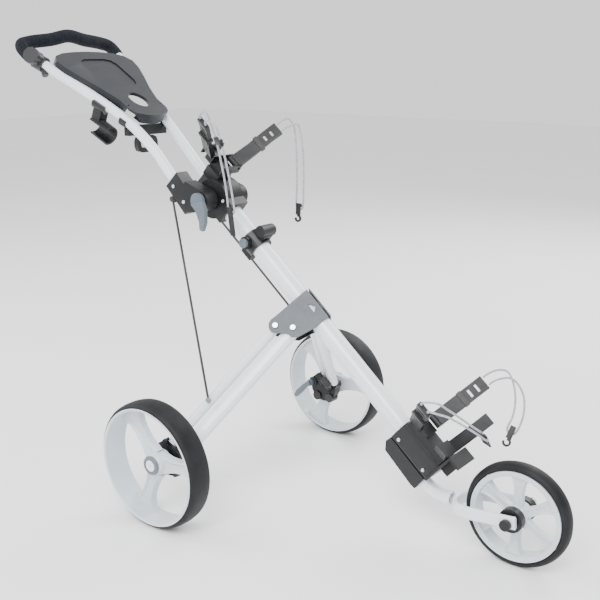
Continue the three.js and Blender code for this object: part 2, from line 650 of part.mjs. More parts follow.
function frontAxle() {
  const shank = slabY(disc(5, 12), -62, 62);
  const caps = [slabY(disc(12, 12), -64, -54.6), slabY(disc(12, 12), 54.6, 64)];
  return join(shank, ...caps).translate(FRONT_WHEEL.x, 0, FRONT_WHEEL.radius);
}
add('front_axle', frontAxle(), PLASTIC);

// ---- wheels -------------------------------------------------------------

function tyre({ radius, width, rimRadius }, sides) {
  const half = width / 2;
  return turned([
    [rimRadius - 3, -half + 7.4], [rimRadius + GAP, -half + 3.7], [rimRadius + GAP, -half + 1],
    [radius - 4, -half + 2], [radius, -half + 9], [radius, half - 9], [radius - 4, half - 2],
    [rimRadius + GAP, half - 1], [rimRadius + GAP, half - 3.7], [rimRadius - 3, half - 7.4],
  ], sides);
}

// The rim is a barrel with a lip at each side, spokes set towards one side and a hub.
function rim({ width, rimRadius, spokes, turn }, sides, barrel, spokeShape, spokeY, hub) {
  const half = width / 2;
  const ring = turned([
    [rimRadius - barrel - 3, -half], [rimRadius, -half], [rimRadius, -half + 4],
    [rimRadius - 3.3, -half + 7.7], [rimRadius - 3.3, half - 7.7], [rimRadius, half - 4],
    [rimRadius, half], [rimRadius - barrel - 3, half],
  ], sides);
  const arms = Array.from({ length: spokes }, (_, i) =>
    slabY(spokeShape, spokeY[0], spokeY[1]).rotateY(rad(turn) + (2 * Math.PI * i) / spokes));
  const core = slabY(disc(hub.radius, 16), hub.low, hub.high);
  const bore = slabY(disc(hub.bore, 12), -80, 80);
  return cut(join(ring, ...arms, core), bore);
}

function rearWheel() {
  const r = REAR_WHEEL.rimRadius - 7;
  const spoke = new THREE.Shape([
    v2(-22, 8), v2(-19, 34), v2(-15, 58), v2(-15, 84), v2(-22, 108), v2(-36, r - 3),
    v2(36, r - 3), v2(22, 108), v2(15, 84), v2(15, 58), v2(19, 34), v2(22, 8),
  ].reverse());
  return rim(REAR_WHEEL, 28, 4, spoke, [1, 19], { radius: 27, low: -9, high: 30, bore: 8 });
}
const rearPlace = (geometry) => geometry.translate(0, -REAR_WHEEL.centreY, REAR_WHEEL.radius);
addPair('rear_rim', rearPlace(rearWheel()), RIM);
addPair('rear_tyre', rearPlace(tyre(REAR_WHEEL, 28)), TYRE);
const hubCap = slabY(disc(22, 18), -15, -9 - GAP);
addPair('hub_cap', rearPlace(cut(hubCap, slabY(disc(8, 12), -20, -12.5))), GREY);

function frontWheel() {
  const r = FRONT_WHEEL.rimRadius - 6;
  const spoke = new THREE.Shape([
    v2(11, 8), v2(8, 50), v2(15, r - 2), v2(-15, r - 2), v2(-8, 50), v2(-11, 8),
  ]);
  return rim(FRONT_WHEEL, 24, 9, spoke, [-12, 4], { radius: 24, low: -20, high: 20, bore: 5.4 });
}
const frontPlace = (geometry) => geometry.translate(FRONT_WHEEL.x, 0, FRONT_WHEEL.radius);
add('front_rim', frontPlace(frontWheel()), RIM);
add('front_tyre', frontPlace(tyre(FRONT_WHEEL, 24)), TYRE);
const frontHub = [[-38, -20.3], [20.3, 38]].map(([low, high]) => slabY(pipeShape(26, 5.4, 16), low, high));
add('front_hub_cap_right', frontPlace(frontHub[0]), PLASTIC);
add('front_hub_cap_left', frontPlace(frontHub[1]), PLASTIC);

// ---- brake --------------------------------------------------------------

function brakePedal() {
  const hub = slabY(disc(9, 12), 266, 275.6).translate(-38, 0, axleHeight + 6);
  const lever = slabY(new THREE.Shape([
    v2(-36, 12), v2(-54, -2), v2(-78, -26), v2(-86, -42), v2(-76, -44), v2(-62, -30), v2(-44, -10),
    v2(-30, 0),
  ]), 262, 272).translate(-2, 0, axleHeight + 2);
  return join(hub, lever);
}
add('brake_pedal', brakePedal(), GREY);

// ---- elastic cords ------------------------------------------------------

// Each cord leaves a clip as two strands, turns round a hook or buckle and goes back into the clip.
// Its route is the line midway between the strands, from the clip's tip to the turn.
const ELASTIC = { radius: 2.2, spread: 10, sides: 8, step: 13 };

const armTip = (station, side, arm, rootY, rootH) => {
  const lean = rad(arm.lean);
  const y = side * (rootY + arm.length * Math.sin(lean));
  return onTube(station, y, rootH + arm.length * Math.cos(lean));
};
const upperTipRight = armTip(UPPER_ARM_STATIONS.right, -1, UPPER_ARM, 24, ARM_ROOT.h);
const upperTipLeft = armTip(UPPER_ARM_STATIONS.left, 1, UPPER_ARM, 24, ARM_ROOT.h);
const lowerTipRight = armTip(LOWER_ARM.stations.right, -1, LOWER_ARM, 29, 56);
const lowerTipLeft = armTip(LOWER_ARM.stations.left, 1, LOWER_ARM, 29, 56);

// The first point stands off the clip's tip along the arm.
function fromTip(tip, side, arm, ...points) {
  const lean = rad(arm.lean);
  const along = onTube(0, side * Math.sin(lean), Math.cos(lean)).sub(MAIN_ORIGIN);
  const across = onTube(0, side * Math.cos(lean), -Math.sin(lean)).sub(MAIN_ORIGIN);
  const mouth = tip.clone().addScaledVector(across, 3);
  return [4, 16].map((reach) => mouth.clone().addScaledVector(along, reach)).concat(points);
}

const cordRoutes = {
  elastic_cord_upper_right: fromTip(upperTipRight, -1, UPPER_ARM,
    v3(-14, -124, 868), v3(-4, -112, 840), v3(-6, -92, 790), v3(-9, -74, 735), v3(-12, -62, 690),
    v3(-12, -58, 664)),
  elastic_cord_upper_left: fromTip(upperTipLeft, 1, UPPER_ARM,
    v3(14, 134, 844), v3(23, 140, 812), v3(26, 143, 760), v3(26, 144, 700), v3(25, 143, 652)),
  elastic_cord_lower_right: fromTip(lowerTipRight, -1, LOWER_ARM,
    v3(578, -132, 352), v3(604, -108, 332), v3(622, -74, 304), v3(634, -44, 280)),
  elastic_cord_lower_left: fromTip(lowerTipLeft, 1, LOWER_ARM,
    v3(588, 130, 354), v3(622, 106, 350), v3(648, 78, 326), v3(658, 52, 298), v3(656, 34, 276)),
};

// Frame at a point of a route: t along it, w across it towards the second strand, b square to both.
function routeFrame(curve, k) {
  const t = curve.getTangent(k);
  const w = alongTube.clone().addScaledVector(t, -alongTube.dot(t)).normalize();
  return { p: curve.getPoint(k), t, w, b: t.clone().cross(w) };
}

function loopPoints(centre) {
  const curve = new THREE.CatmullRomCurve3(centre);
  const strand = (side) => Array.from({ length: 9 }, (_, i) => {
    const { p, w } = routeFrame(curve, i / 8);
    return p.addScaledVector(w, side * ELASTIC.spread);
  });
  const { p, t, w } = routeFrame(curve, 1);
  const turn = [45, 90, 135].map((angle) => p.clone()
    .addScaledVector(w, -ELASTIC.spread * Math.cos(rad(angle)))
    .addScaledVector(t, ELASTIC.spread * Math.sin(rad(angle))));
  return [...strand(-1), ...turn, ...strand(1).reverse()];
}

function elasticCord(centre) {
  const points = loopPoints(centre);
  const length = new THREE.CatmullRomCurve3(points, false, 'centripetal').getLength();
  return sweep(points, disc(ELASTIC.radius, ELASTIC.sides), Math.round(length / ELASTIC.step));
}

// Pieces on a cord are drawn with x across the strands, y square to them and z onward past the turn.
function atTurn(geometry, centre, k = 1) {
  const { p, t, w, b } = routeFrame(new THREE.CatmullRomCurve3(centre), k);
  return geometry.applyMatrix4(new THREE.Matrix4().makeBasis(w, b, t).setPosition(p));
}
const peg = () => slabY(disc(5, 10), -4, 6);

function cordHook() {
  const plate = box(-6, 6, 3, 7, -6, 24);
  const ring = slabY(disc(9, 16), 2.9, 7).translate(0, 0, 30);
  const mouth = slabY(disc(4.6, 12), -20, 20).translate(0, 0, 30);
  const gap = box(-14, -2, -20, 20, 21, 29);
  return cut(join(peg(), plate, ring), mouth, gap);
}

function ringBuckle() {
  const plate = box(-13, 13, 3, 6.5, -5, 20);
  const mouth = box(-8, 8, -20, 20, 11, 17);
  return cut(join(peg(), plate), mouth);
}

for (const [name, centre] of Object.entries(cordRoutes)) add(name, elasticCord(centre), CORD);

const { elastic_cord_upper_right: upperRight, elastic_cord_upper_left: upperLeft } = cordRoutes;
const { elastic_cord_lower_right: lowerRight, elastic_cord_lower_left: lowerLeft } = cordRoutes;
add('cord_hook_upper', atTurn(cordHook(), upperLeft), PLASTIC);
add('cord_hook_lower', atTurn(cordHook(), lowerLeft), PLASTIC);
add('cord_buckle_lower', atTurn(ringBuckle(), lowerRight), PLASTIC);

function pullStrap() {
  const tongue = box(-8, 8, 3, 6, -6, 60);
  return join(peg(), tongue);
}
add('pull_strap', atTurn(pullStrap(), upperRight), WEBBING);

// ---- finish -------------------------------------------------------------

const bounds = new THREE.Box3().setFromObject(trolley);
trolley.position.x = -(bounds.min.x + bounds.max.x) / 2;
trolley.updateMatrixWorld(true);

export default trolley;
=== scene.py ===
"""Golf push trolley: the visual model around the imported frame. Metres, +X forward, +Z up."""

import json
import math

import bmesh
import bpy
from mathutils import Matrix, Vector


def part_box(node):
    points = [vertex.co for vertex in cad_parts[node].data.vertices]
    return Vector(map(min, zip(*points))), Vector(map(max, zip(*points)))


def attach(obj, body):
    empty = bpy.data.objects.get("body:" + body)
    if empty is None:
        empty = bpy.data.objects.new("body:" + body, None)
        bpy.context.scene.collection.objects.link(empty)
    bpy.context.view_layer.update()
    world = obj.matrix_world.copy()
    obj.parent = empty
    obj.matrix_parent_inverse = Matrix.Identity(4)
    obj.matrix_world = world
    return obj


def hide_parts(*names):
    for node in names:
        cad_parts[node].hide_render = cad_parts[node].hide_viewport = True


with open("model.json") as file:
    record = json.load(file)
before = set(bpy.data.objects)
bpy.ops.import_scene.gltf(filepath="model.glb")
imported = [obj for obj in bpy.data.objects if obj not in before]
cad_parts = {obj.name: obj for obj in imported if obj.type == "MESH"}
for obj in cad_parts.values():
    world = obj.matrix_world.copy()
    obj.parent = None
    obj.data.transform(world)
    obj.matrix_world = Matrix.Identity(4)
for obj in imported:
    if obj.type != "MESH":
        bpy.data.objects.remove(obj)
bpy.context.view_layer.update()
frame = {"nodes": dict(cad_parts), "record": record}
NODES = frame["nodes"]
SLOT_OF = {s["node"]: s["material_slot"] for s in frame["record"]["subparts"]}
BODY_OF = {n: b for b, members in frame["record"]["behaviour"]["bodies"].items() for n in members}

SIDES = {"right": -1, "left": 1}
MM = 0.001


def middle(node):
    low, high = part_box(node)
    return (low + high) / 2


# Routes are written from the rear axle, as in the CAD; the row's x origin is further forward.
AXLE_X = middle("rear_tyre_right").x


def place(x, y, z):
    return Vector((x + AXLE_X, y, z))


# ---- camera -----------------------------------------------------------------

CAMERA_AT = (1.3491, -1.5497, 0.9904)
CAMERA_TARGET = (0.1247, 0.0, 0.3173)
CAMERA_LENS = 53.87
CAMERA_SHIFT = (0.00785, 0.1029)


def make_camera():
    camera = bpy.data.objects.new("camera", bpy.data.cameras.new("camera"))
    bpy.context.scene.collection.objects.link(camera)
    camera.location = place(*CAMERA_AT)
    aim = place(*CAMERA_TARGET) - camera.location
    camera.rotation_euler = aim.to_track_quat("-Z", "Y").to_euler()
    camera.data.lens = CAMERA_LENS
    camera.data.sensor_width = 36
    camera.data.shift_x, camera.data.shift_y = CAMERA_SHIFT
    bpy.context.scene.camera = camera


make_camera()

# ---- materials --------------------------------------------------------------


class Surface:
    """A procedural material: a base colour with soft variation, a roughness range and a bump."""

    def __init__(self, name, colour, roughness, metallic=0.0, coat=0.0, specular=0.5):
        self.material = bpy.data.materials.new(name)
        self.material.use_nodes = True
        self.tree = self.material.node_tree
        self.shader = self.tree.nodes["Principled BSDF"]
        self.shader.inputs["Metallic"].default_value = metallic
        self.shader.inputs["Coat Weight"].default_value = coat
        self.shader.inputs["Specular IOR Level"].default_value = specular
        self.colour, self.roughness = colour, roughness
        self.coords = self.tree.nodes.new("ShaderNodeTexCoord").outputs["Object"]

    def noise(self, scale, detail=3.0, stretch=(1, 1, 1)):
        mapping = self.tree.nodes.new("ShaderNodeMapping")
        mapping.inputs["Scale"].default_value = stretch
        self.tree.links.new(self.coords, mapping.inputs["Vector"])
        node = self.tree.nodes.new("ShaderNodeTexNoise")
        node.inputs["Scale"].default_value = scale
        node.inputs["Detail"].default_value = detail
        self.tree.links.new(mapping.outputs["Vector"], node.inputs["Vector"])
        return node.outputs["Fac"]

    def ramp(self, value, low, high, start=0.35, end=0.65):
        node = self.tree.nodes.new("ShaderNodeValToRGB")
        first, last = node.color_ramp.elements
        first.position, last.position = start, end
        first.color, last.color = (*low, 1), (*high, 1)
        self.tree.links.new(value, node.inputs["Fac"])
        return node.outputs["Color"]

    def vary(self, scale, amount):
        """Slow colour change, lighter and darker than the base by amount."""
        low = [c * (1 - amount) for c in self.colour]
        high = [min(1, c * (1 + amount)) for c in self.colour]
        self.tree.links.new(self.ramp(self.noise(scale), low, high), self.shader.inputs["Base Color"])
        return self

    def vary_and_paint_edge_sheen(self, scale, amount, highlight_lift):
        """Colour variation, and a painted highlight: convex edges painted a little lighter, standing in for sheen.
        """
        low = [c * (1 - amount) for c in self.colour]
        high = [min(1, c * (1 + amount)) for c in self.colour]
        base = self.ramp(self.noise(scale), low, high)
        # Painted highlight: convex edges get a lighter base colour, a painted sheen rather than rubbed wear.
        geometry = self.tree.nodes.new("ShaderNodeNewGeometry")
        edge = self.ramp(geometry.outputs["Pointiness"], (0, 0, 0), (1, 1, 1), 0.52, 0.62)
        mix = self.tree.nodes.new("ShaderNodeMix")
        mix.data_type = "RGBA"
        self.tree.links.new(edge, mix.inputs["Factor"])
        self.tree.links.new(base, mix.inputs["A"])
        mix.inputs["B"].default_value = (*[min(1, c + highlight_lift) for c in self.colour], 1)
        self.tree.links.new(mix.outputs["Result"], self.shader.inputs["Base Color"])
        return self

    def rough(self, scale, spread, stretch=(1, 1, 1)):
        node = self.tree.nodes.new("ShaderNodeMapRange")
        node.inputs["To Min"].default_value = self.roughness - spread
        node.inputs["To Max"].default_value = self.roughness + spread
        self.tree.links.new(self.noise(scale, 4.0, stretch), node.inputs["Value"])
        self.tree.links.new(node.outputs["Result"], self.shader.inputs["Roughness"])
        return self

    def bump(self, height, strength, distance):
        node = self.tree.nodes.new("ShaderNodeBump")
        node.inputs["Strength"].default_value = strength
        node.inputs["Distance"].default_value = distance
        self.tree.links.new(height, node.inputs["Height"])
        self.tree.links.new(node.outputs["Normal"], self.shader.inputs["Normal"])
        return self

    def cells(self, scale):
        node = self.tree.nodes.new("ShaderNodeTexVoronoi")
        node.inputs["Scale"].default_value = scale
        self.tree.links.new(self.coords, node.inputs["Vector"])
        return node.outputs["Distance"]

    def weave(self, scale):
        """Crossing diagonal ridges."""
        waves = []
        for direction in ("DIAGONAL", "Z"):
            wave = self.tree.nodes.new("ShaderNodeTexWave")
            wave.bands_direction = direction
            wave.inputs["Scale"].default_value = scale
            wave.inputs["Distortion"].default_value = 0.6
            self.tree.links.new(self.coords, wave.inputs["Vector"])
            waves.append(wave.outputs["Fac"])
        node = self.tree.nodes.new("ShaderNodeMath")
        node.operation = "MULTIPLY"
        for i, wave in enumerate(waves):
            self.tree.links.new(wave, node.inputs[i])
        return node.outputs["Value"]


def surfaces():
    made = {}

    def new(slot, *values, **more):
        made[slot] = Surface(slot, *values, **more)
        return made[slot]

    paint = new("white_paint", (0.74, 0.80, 0.84), 0.22, coat=0.4).vary(9, 0.03).rough(60, 0.06)
    paint.bump(paint.noise(420, 2), 0.05, 0.0004)
    rims = new("rim_plastic", (0.56, 0.61, 0.65), 0.38).vary_and_paint_edge_sheen(14, 0.05, 0.08).rough(90, 0.08)
    rims.bump(rims.noise(1400, 2), 0.10, 0.0002)
    tyre = new("tyre", (0.008, 0.0085, 0.010), 0.58, specular=0.25).vary(22, 0.35).rough(45, 0.12)
    tyre.bump(tyre.noise(700, 4), 0.25, 0.0004)
    black = new("black_plastic", (0.007, 0.0075, 0.009), 0.40, specular=0.32).vary_and_paint_edge_sheen(30, 0.2, 0.02).rough(80, 0.09)
    black.bump(black.noise(1800, 2), 0.18, 0.0002)
    tray = new("tray_plastic", (0.009, 0.011, 0.015), 0.34, specular=0.32).vary_and_paint_edge_sheen(18, 0.15, 0.02).rough(60, 0.08)
    tray.bump(tray.cells(900), 0.12, 0.0002)
    plate = new("grey_plate", (0.040, 0.050, 0.064), 0.38, specular=0.4).vary_and_paint_edge_sheen(26, 0.08, 0.07)
    plate.rough(120, 0.08).bump(plate.noise(900, 2), 0.10, 0.0002)
    grey = new("grey_plastic", (0.085, 0.108, 0.135), 0.36).vary_and_paint_edge_sheen(24, 0.08, 0.06).rough(90, 0.08)
    grey.bump(grey.noise(1500, 2), 0.12, 0.0002)
    foam = new("foam", (0.006, 0.008, 0.013), 0.86, specular=0.2).vary(120, 0.3).rough(200, 0.08)
    foam.bump(foam.cells(1500), 0.55, 0.0006)
    steel = new("steel", (0.62, 0.63, 0.65), 0.28, metallic=1.0).vary(40, 0.06)
    steel.rough(300, 0.10, (1, 12, 1)).bump(steel.noise(900, 2, (1, 12, 1)), 0.08, 0.0001)
    wire = new("black_wire", (0.018, 0.018, 0.02), 0.32, coat=0.2).vary_and_paint_edge_sheen(30, 0.2, 0.05).rough(90, 0.08)
    wire.bump(wire.noise(900, 2), 0.08, 0.0002)
    cord = new("elastic_cord", (0.38, 0.39, 0.43), 0.75).vary(180, 0.18).rough(200, 0.08)
    cord.bump(cord.weave(260), 0.7, 0.0006)
    web = new("webbing", (0.016, 0.016, 0.018), 0.85).vary(160, 0.25).rough(160, 0.07)
    web.bump(web.weave(220), 0.8, 0.0006)
    return {slot: made[slot].material for slot in made}


MATERIAL = surfaces()

# ---- shape helpers ----------------------------------------------------------


def spline(points, k):
    """Centripetal Catmull-Rom point at k, from 0 to 1, evenly shared between the segments."""
    last = len(points) - 1
    i = min(int(k * last), last - 1)
    w = k * last - i
    p1, p2 = points[i], points[i + 1]
    p0 = points[i - 1] if i > 0 else points[0] * 2 - points[1]
    p3 = points[i + 2] if i + 2 <= last else points[last] * 2 - points[last - 1]
    d0, d1, d2 = [max((b - a).length, 1e-6) ** 0.5 for a, b in ((p0, p1), (p1, p2), (p2, p3))]
    t1 = ((p1 - p0) / d0 - (p2 - p0) / (d0 + d1) + (p2 - p1) / d1) * d1
    t2 = ((p2 - p1) / d1 - (p3 - p1) / (d1 + d2) + (p3 - p2) / d2) * d1
    return p1 + t1 * w + (p2 * 3 - p1 * 3 - t1 * 2 - t2) * w**2 + (p1 * 2 - p2 * 2 + t1 + t2) * w**3


def smooth_route(points, count):
    return [spline(points, i / (count - 1)) for i in range(count)]


def dress(piece, slot, body, *replaced):
    piece.data.materials.clear()
    piece.data.materials.append(MATERIAL[slot])
    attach(piece, body)
    if replaced:
        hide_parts(*replaced)
    return piece


def tube(name, points, radius, slot, body, replaced=(), radii=None):
    """A round solid along points; radii scale the radius point by point."""
    curve = bpy.data.curves.new(name, "CURVE")
    curve.dimensions = "3D"
    curve.bevel_depth = radius
    curve.bevel_resolution = 6
    curve.use_fill_caps = True
    line = curve.splines.new("POLY")
    line.points.add(len(points) - 1)
    for i, point in enumerate(points):
        line.points[i].co = (*point, 1)
        line.points[i].radius = radii[i] if radii else 1
    line.use_smooth = True
    piece = bpy.data.objects.new(name, curve)
    bpy.context.scene.collection.objects.link(piece)
    return dress(piece, slot, body, *replaced)


def solid(name, build, slot, body, replaced=(), bevel=0.0):
    """A mesh piece: build(bm) fills it, and bevel rounds its sharp edges."""
    mesh = bpy.data.meshes.new(name)
    bm = bmesh.new()
    build(bm)
    bmesh.ops.remove_doubles(bm, verts=bm.verts, dist=1e-6)
    bmesh.ops.recalc_face_normals(bm, faces=bm.faces)
    bm.to_mesh(mesh)
    bm.free()
    mesh.shade_smooth()
    piece = bpy.data.objects.new(name, mesh)
    bpy.context.scene.collection.objects.link(piece)
    if bevel:
        soften(piece, bevel)
    return dress(piece, slot, body, *replaced)


def soften(piece, width, weld=False):
    if weld:
        piece.modifiers.new("weld", "WELD").merge_threshold = 1e-5
    rounding = piece.modifiers.new("bevel", "BEVEL")
    rounding.width = width
    rounding.segments = 2
    rounding.limit_method = "ANGLE"
    rounding.angle_limit = math.radians(38)
    normals = piece.modifiers.new("normals", "WEIGHTED_NORMAL")
    normals.keep_sharp = True


def lathe(bm, centre, profile, segments=96):
    """A closed profile of (radius, y) turned about the y axis through centre."""
    rings = []
    for i in range(segments):
        angle = 2 * math.pi * i / segments
        turn = Vector((math.sin(angle), 0, math.cos(angle)))
        rings.append([bm.verts.new(centre + turn * r + Vector((0, y, 0))) for r, y in profile])
    for a, b in zip(rings, rings[1:] + rings[:1]):
        for i in range(len(profile)):
            j = (i + 1) % len(profile)
            corners = [a[i], a[j], b[j], b[i]]
            bm.faces.new(corners)


def arc(cx, cy, radius, start, end, steps):
    """Points of a circle in the lathe's (radius, y) plane, angles in degrees."""
    turns = [math.radians(start + (end - start) * i / steps) for i in range(steps + 1)]
    return [(cx + radius * math.cos(a), cy + radius * math.sin(a)) for a in turns]


def loft(bm, sections):
    """Closed sections joined in order, with both ends capped."""
    rings = [[bm.verts.new(p) for p in section] for section in sections]
    for a, b in zip(rings, rings[1:]):
        for i in range(len(a)):
            j = (i + 1) % len(a)
            bm.faces.new([a[i], a[j], b[j], b[i]])
    bm.faces.new(rings[0][::-1])
    bm.faces.new(rings[-1])


# ---- elastic cords ----------------------------------------------------------

SLOPE = math.radians(40.5)
ALONG_TUBE = Vector((math.cos(SLOPE), 0, -math.sin(SLOPE)))
OFF_TUBE = Vector((math.sin(SLOPE), 0, math.cos(SLOPE)))
TUBE_ORIGIN = place(-0.0246, 0, 0.6128)
CORD_DIAMETER = 0.0044
STRAND_OFFSET = 0.010
ARM_LEAN = math.radians(40)


def on_tube(s, y, h):
    return TUBE_ORIGIN + ALONG_TUBE * s + Vector((0, y, 0)) + OFF_TUBE * h


def from_tip(side, station, root_y, root_h, length, *points):
    """The route from just off an arm's tip, along the arm, and on through points."""
    sine, cosine = math.sin(ARM_LEAN), math.cos(ARM_LEAN)
    tip = on_tube(station, side * (root_y + length * sine), root_h + length * cosine)
    along = Vector((0, side * sine, 0)) + OFF_TUBE * cosine
    across = Vector((0, side * cosine, 0)) - OFF_TUBE * sine
    mouth = tip + across * 0.003
    return [mouth + along * 0.004, mouth + along * 0.016] + [place(*p) for p in points]


CORD_ROUTES = {
    "upper_right": from_tip(
        -1, -0.169, 0.024, 0.076, 0.130,
        (-0.014, -0.124, 0.868), (-0.004, -0.112, 0.840), (-0.006, -0.092, 0.790),
        (-0.009, -0.074, 0.735), (-0.012, -0.062, 0.690), (-0.012, -0.058, 0.664),
    ),
    "upper_left": from_tip(
        1, -0.132, 0.024, 0.076, 0.130,
        (0.014, 0.134, 0.844), (0.023, 0.140, 0.812), (0.026, 0.143, 0.760),
        (0.026, 0.144, 0.700), (0.025, 0.143, 0.652),
    ),
    "lower_right": from_tip(
        -1, 0.606, 0.029, 0.056, 0.134,
        (0.578, -0.132, 0.352), (0.604, -0.108, 0.332), (0.622, -0.074, 0.304),
        (0.634, -0.044, 0.280),
    ),
    "lower_left": from_tip(
        1, 0.620, 0.029, 0.056, 0.134,
        (0.588, 0.130, 0.354), (0.622, 0.106, 0.350), (0.648, 0.078, 0.326),
        (0.658, 0.052, 0.298), (0.656, 0.034, 0.276),
    ),
}
CORD_BODY = {"upper_right": "bag_arm_right", "upper_left": "bag_arm_left"}


def route_frame(centre, k):
    """Point, tangent, direction across to the second strand, and the square to both."""
    step = 1e-4
    point = spline(centre, k)
    tangent = (spline(centre, min(1, k + step)) - spline(centre, max(0, k - step))).normalized()
    across = (ALONG_TUBE - tangent * ALONG_TUBE.dot(tangent)).normalized()
    return point, tangent, across, tangent.cross(across)


def loop_points(centre):
    """Down one strand, round the turn and back up the other, as one line."""
    strands = []
    for side in (-1, 1):
        strand = []
        for i in range(9):
            point, _, across, _ = route_frame(centre, i / 8)
            strand.append(point + across * side * STRAND_OFFSET)
        strands.append(strand)
    point, tangent, across, _ = route_frame(centre, 1)
    turn = []
    for degrees in (45, 90, 135):
        angle = math.radians(degrees)
        turn.append(point - across * STRAND_OFFSET * math.cos(angle) + tangent * STRAND_OFFSET * math.sin(angle))
    return strands[0] + turn + strands[1][::-1]


def slider_on_cord(centre, k):
    """A flat slider that both strands pass through, drawn at k along the route."""
    point, tangent, across, off = route_frame(centre, k)
    half_wide, half_thick, half_tall = 0.0145, 0.0046, 0.008

    def build(bm):
        rim = []
        for wide, thick, tall in ((1, 0.75, -1), (1.08, 1, -0.6), (0.92, 1, 0), (1.08, 1, 0.6), (1, 0.75, 1)):
            ring = []
            for sx, sy in ((1, 0.4), (0.8, 1), (-0.8, 1), (-1, 0.4), (-1, -0.4), (-0.8, -1), (0.8, -1), (1, -0.4)):
                ring.append(
                    point + across * sx * half_wide * wide + off * sy * half_thick * thick
                    + tangent * half_tall * tall
                )
            rim.append(ring)
        loft(bm, rim)

    return solid("cord_slider", build, "black_plastic", "bag_arm_right", bevel=0.0008)


def elastic_cords():
    for name, centre in CORD_ROUTES.items():
        line = smooth_route(loop_points(centre), 121)
        body = CORD_BODY.get(name, "frame")
        node = f"elastic_cord_{name}"
        cord = tube(f"cord_{name}", line, CORD_DIAMETER / 2, "elastic_cord", body, (node,))
        if name == "upper_right":
            slider_on_cord(centre, 0.5)


elastic_cords()

# ---- handle -----------------------------------------------------------------

HANDLE_SLOPE = math.radians(46.2)
FOLD_PIVOT = on_tube(-0.098, 0, 0)
HANDLE_RADIUS = 0.0125
GRIP_RADIUS = 0.016


def on_handle(a, y, n):
    up = Vector((-math.cos(HANDLE_SLOPE), 0, math.sin(HANDLE_SLOPE)))
    off = Vector((math.sin(HANDLE_SLOPE), 0, math.cos(HANDLE_SLOPE)))
    return FOLD_PIVOT + up * a + Vector((0, y, 0)) + off * n


def handle_route():
    bend = place(-0.303, -0.052, 0.823)
    top = place(-0.535, -0.123, 0.961)
    corner = place(-0.619, -0.138, 1.014)
    centre = place(-0.613, 0, 1.038)
    socket = on_handle(0.054, -0.052, -0.0408)
    before = bend.lerp(socket, 0.3)
    half = [
        socket, socket.lerp(before, 0.5), before, bend.lerp(top, 0.16), top,
        place(-0.586, -0.140, 0.988), corner,
        corner.lerp(centre, 0.2) + Vector((-0.005, 0, 0.003)), corner.lerp(centre, 0.62),
    ]
    return half + [centre] + [Vector((p.x, -p.y, p.z)) for p in half[::-1]]


def handle():
    route = handle_route()
    tube("handle_tube", smooth_route(route, 217), HANDLE_RADIUS, "white_paint", "handle", ("handle_frame",))
    first = 5 / (len(route) - 1)
    steps = 73
    line = [spline(route, first + (1 - 2 * first) * i / (steps - 1)) for i in range(steps)]
    ends = [0.84, 0.95, 1.0]
    radii = ends + [1.0] * (steps - 6) + ends[::-1]
    grip = tube("foam_grip", line, GRIP_RADIUS, "foam", "handle", ("handle_grip",), radii)


handle()

# ---- wheels -----------------------------------------------------------------


def tyre(name, node, body, rim_radius, shoulder):
    centre = middle(node)
    low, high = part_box(node)
    radius, half = (high.z - low.z) / 2, (high.y - low.y) / 2 - 0.0005
    crown = 0.0015
    profile = [(rim_radius + 0.0006, half * 0.93)]
    profile += [(radius - shoulder - 0.002, half)]
    profile += arc(radius - shoulder - crown, half - shoulder, shoulder, 90, 12, 7)
    profile += [(radius, half * 0.3), (radius, -half * 0.3)]
    profile += arc(radius - shoulder - crown, -half + shoulder, shoulder, -12, -90, 7)
    profile += [(radius - shoulder - 0.002, -half), (rim_radius + 0.0006, -half * 0.93)]
    return solid(name, lambda bm: lathe(bm, centre, profile, 112), "tyre", body, (node,))


def spoke_sections(centre, side, turn, stations, near, far, groove):
    """Sections of one spoke from hub to barrel; a channel runs down its outer face."""
    angle = math.radians(turn)
    out = Vector((math.sin(angle), 0, math.cos(angle)))
    across = Vector((math.cos(angle), 0, -math.sin(angle)))
    made = []
    for radius, half, dip in stations:
        face = side * near
        back = side * far
        outline = [
            (-1.0, back), (-1.0, face + (back - face) * 0.25), (-0.86, face),
            (-0.62, face), (-0.40, face + side * -groove * dip), (0.40, face + side * -groove * dip),
            (0.62, face), (0.86, face), (1.0, face + (back - face) * 0.25), (1.0, back),
        ]
        made.append([centre + out * radius + across * u * half + Vector((0, y, 0)) for u, y in outline])
    return made


